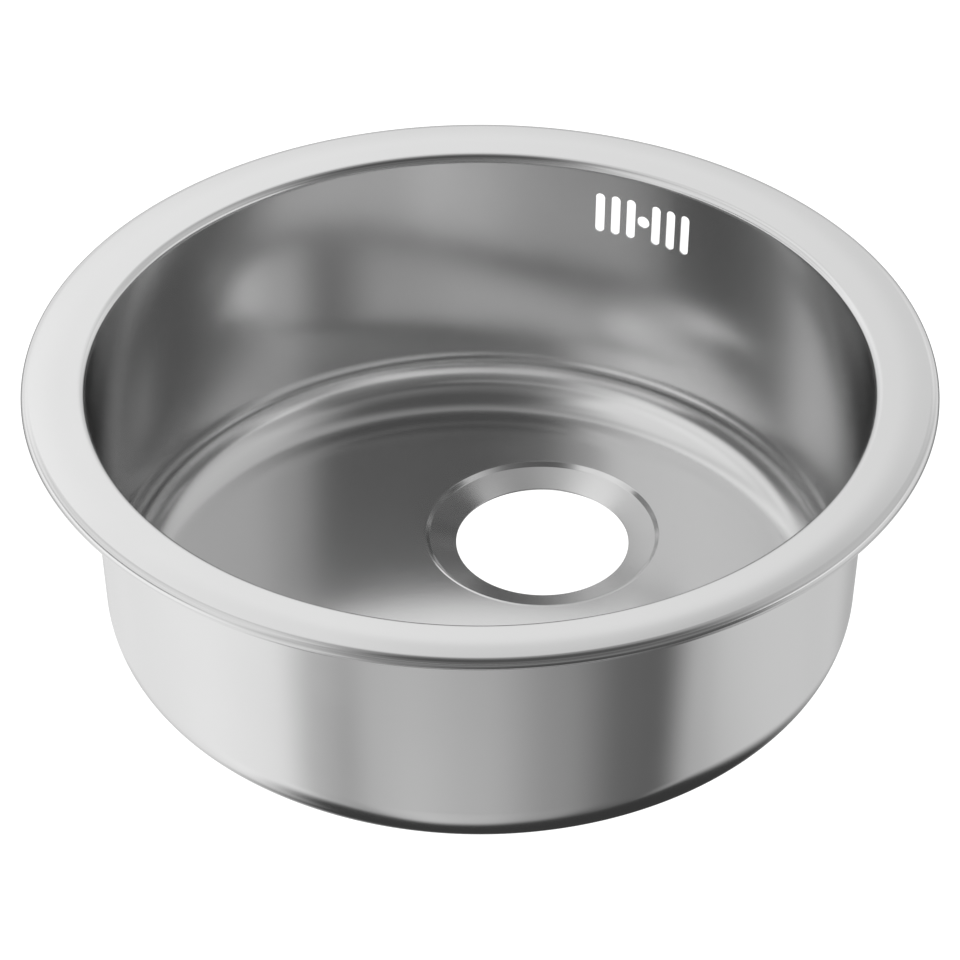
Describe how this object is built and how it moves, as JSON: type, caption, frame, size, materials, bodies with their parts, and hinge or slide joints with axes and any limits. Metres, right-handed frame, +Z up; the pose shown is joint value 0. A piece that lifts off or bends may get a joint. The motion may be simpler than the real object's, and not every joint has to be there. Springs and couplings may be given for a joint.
{
  "type": "inset sink",
  "caption": "Round inset kitchen sink in pressed stainless steel with an off-centre waste hole, overflow slots, rim seal and turning cam clamps.",
  "frame": {"origin": "centre of the rim at worktop level, where the rim's lip and seal rest on the worktop", "axes": "+Z up out of the bowl, +Y towards the overflow and the waste hole's side, +X to the right"},
  "size_m": [0.45, 0.45, 0.1583],
  "materials": {
    "bowl_steel": "fine satin stainless steel",
    "seal_foam": "closed-cell foam",
    "pad_rubber": "matt bitumen rubber",
    "tab_steel": "bare pressed stainless steel",
    "plated_steel": "bright zinc plate",
    "cast_zinc": "as-cast zinc"
  },
  "bodies": {
    "sink": {"sink_bowl": "bowl_steel", "rim_seal": "seal_foam", "sound_pad": "pad_rubber", "earth_tag": "tab_steel", "earth_screw": "plated_steel", "earth_washer": "plated_steel", "earth_nut": "plated_steel", "clamp_bracket_1": "tab_steel", "clamp_bracket_2": "tab_steel", "clamp_bracket_3": "tab_steel", "clamp_bracket_4": "tab_steel", "clamp_bracket_5": "tab_steel", "clamp_bracket_6": "tab_steel"},
    "clamp_1": {"clamp_cam_1": "cast_zinc", "clamp_screw_1": "plated_steel", "clamp_washer_1": "plated_steel"},
    "clamp_2": {"clamp_cam_2": "cast_zinc", "clamp_screw_2": "plated_steel", "clamp_washer_2": "plated_steel"},
    "clamp_3": {"clamp_cam_3": "cast_zinc", "clamp_screw_3": "plated_steel", "clamp_washer_3": "plated_steel"},
    "clamp_4": {"clamp_cam_4": "cast_zinc", "clamp_screw_4": "plated_steel", "clamp_washer_4": "plated_steel"},
    "clamp_5": {"clamp_cam_5": "cast_zinc", "clamp_screw_5": "plated_steel", "clamp_washer_5": "plated_steel"},
    "clamp_6": {"clamp_cam_6": "cast_zinc", "clamp_screw_6": "plated_steel", "clamp_washer_6": "plated_steel"}
  },
  "joints": [
    {"name": "clamp_turn_1", "type": "hinge", "parent": "sink", "child": "clamp_1", "pos_m": [0.204, 0, -0.0056], "axis": [0, 0, 1], "range_deg": [0, 110]},
    {"name": "clamp_turn_2", "type": "hinge", "parent": "sink", "child": "clamp_2", "pos_m": [0.102, 0.17667, -0.0056], "axis": [0, 0, 1], "range_deg": [0, 110]},
    {"name": "clamp_turn_3", "type": "hinge", "parent": "sink", "child": "clamp_3", "pos_m": [-0.102, 0.17667, -0.0056], "axis": [0, 0, 1], "range_deg": [0, 110]},
    {"name": "clamp_turn_4", "type": "hinge", "parent": "sink", "child": "clamp_4", "pos_m": [-0.204, 0, -0.0056], "axis": [0, 0, 1], "range_deg": [0, 110]},
    {"name": "clamp_turn_5", "type": "hinge", "parent": "sink", "child": "clamp_5", "pos_m": [-0.102, -0.17667, -0.0056], "axis": [0, 0, 1], "range_deg": [0, 110]},
    {"name": "clamp_turn_6", "type": "hinge", "parent": "sink", "child": "clamp_6", "pos_m": [0.102, -0.17667, -0.0056], "axis": [0, 0, 1], "range_deg": [0, 110]}
  ]
}
